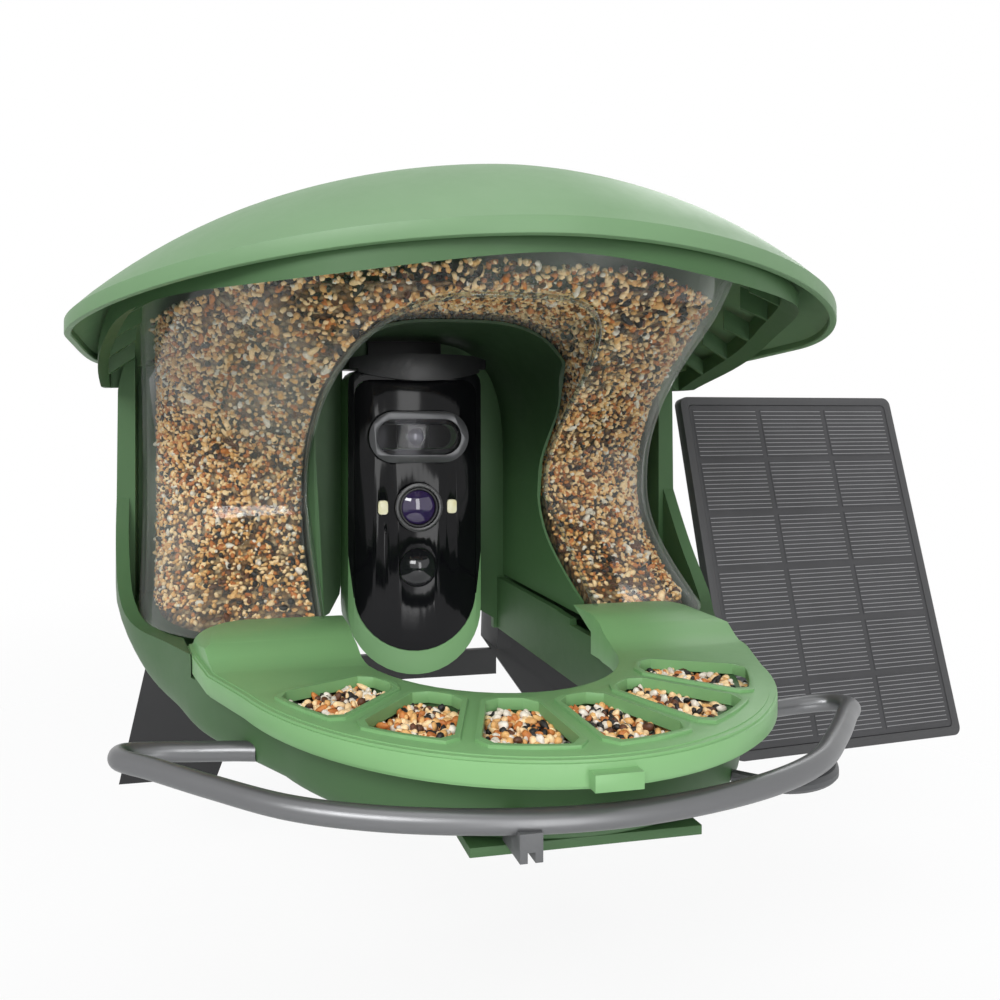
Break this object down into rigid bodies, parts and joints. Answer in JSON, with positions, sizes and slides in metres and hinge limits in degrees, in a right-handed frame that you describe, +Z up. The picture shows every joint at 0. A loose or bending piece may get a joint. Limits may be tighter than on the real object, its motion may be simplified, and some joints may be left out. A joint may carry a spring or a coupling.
{
  "type": "bird feeder",
  "caption": "Smart bird feeder: clear arch-shaped seed hopper under a domed roof, camera tower in the arch, fan tray with seed windows, perch ring, wall bracket and a swivelling solar panel",
  "frame": {"origin": "on the wall plane, at the middle of the top bar of the wall bracket, where the bracket is fastened to the wall", "axes": "+X to the right seen from the front, +Y back into the wall, +Z up; the feeder looks along -Y"},
  "size_m": [0.5024, 0.2845, 0.3165],
  "materials": {
    "deep_green": "satin moulded plastic",
    "leaf_green": "satin moulded plastic",
    "roof_green": "satin moulded plastic",
    "clear_plastic": "clear moulded plastic",
    "perch_grey": "satin grey tube",
    "grey_plastic": "satin grey",
    "bracket_black": "powder coat",
    "screw_steel": "plain",
    "gloss_black": "high gloss",
    "matt_black": "matt",
    "lens_glass": "coated",
    "sensor_black": "gloss dome",
    "warm_white": "diffuser",
    "flap_rubber": "matt rubber",
    "battery_wrap": "film wrap",
    "board_green": "solder mask",
    "solar_rim": "matt dark grey",
    "solar_face": "laminated face"
  },
  "bodies": {
    "feeder": {"rear_frame": "deep_green", "tray_base": "deep_green", "base_bottom_plate": "deep_green", "hopper_shell": "clear_plastic", "perch_ring": "perch_grey", "perch_clip": "grey_plastic", "perch_brace": "grey_plastic", "mount_bracket": "bracket_black", "bracket_screw_1": "screw_steel", "bracket_screw_2": "screw_steel", "bracket_screw_3": "screw_steel", "bracket_screw_4": "screw_steel", "camera_hanger": "bracket_black", "camera_housing": "leaf_green", "camera_rear_cover": "matt_black", "front_glass": "gloss_black", "visor": "gloss_black", "capsule_bezel": "grey_plastic", "capsule_window": "lens_glass", "main_lens_ring": "gloss_black", "main_lens_barrel": "gloss_black", "main_lens_glass": "lens_glass", "motion_sensor_dome": "sensor_black", "light_left": "warm_white", "light_right": "warm_white", "battery_pack": "battery_wrap", "main_board": "board_green", "solar_wall_foot": "matt_black", "solar_foot_screw_1": "screw_steel", "solar_foot_screw_2": "screw_steel"},
    "roof": {"roof_canopy": "roof_green", "roof_collar": "roof_green"},
    "tray": {"tray_deck": "leaf_green"},
    "turret": {"turret_drum": "matt_black", "turret_lens": "lens_glass"},
    "button": {"power_button": "matt_black"},
    "port_flap": {"port_cover": "flap_rubber"},
    "swivel": {"swivel_head": "matt_black"},
    "panel": {"solar_frame": "solar_rim", "solar_cells": "solar_face", "solar_back_box": "matt_black"},
    "knob": {"clamp_knob": "matt_black"}
  },
  "joints": [
    {"name": "roof_lift", "type": "slide", "parent": "feeder", "child": "roof", "axis": [0, 0, 1], "range_m": [0, 0.09]},
    {"name": "tray_lift", "type": "slide", "parent": "feeder", "child": "tray", "axis": [0, 0, 1], "range_m": [0, 0.04]},
    {"name": "turret_pan", "type": "hinge", "parent": "feeder", "child": "turret", "pos_m": [0, -0.0556, -0.056], "axis": [0, 0, 1], "range_deg": [-35, 35]},
    {"name": "button_press", "type": "slide", "parent": "feeder", "child": "button", "axis": [0, -1, 0], "range_m": [0, 0.0012], "stiffness_N_per_m": 300},
    {"name": "port_flap_hinge", "type": "hinge", "parent": "feeder", "child": "port_flap", "pos_m": [0, -0.038, -0.146], "axis": [-1, 0, 0], "range_deg": [0, 95]},
    {"name": "solar_swivel", "type": "hinge", "parent": "feeder", "child": "swivel", "pos_m": [0.24683, -0.02149, -0.13971], "axis": [0, 0, 1], "range_deg": [-12, 12]},
    {"name": "solar_tilt", "type": "hinge", "parent": "swivel", "child": "panel", "pos_m": [0.24839, -0.04444, -0.13971], "axis": [-0.9977, -0.068, 0], "range_deg": [-13.5, 8]},
    {"name": "clamp_turn", "type": "hinge", "parent": "swivel", "child": "knob", "pos_m": [0.24839, -0.04444, -0.13971], "axis": [0.9977, 0.068, 0], "range_deg": [0, 180]}
  ]
}
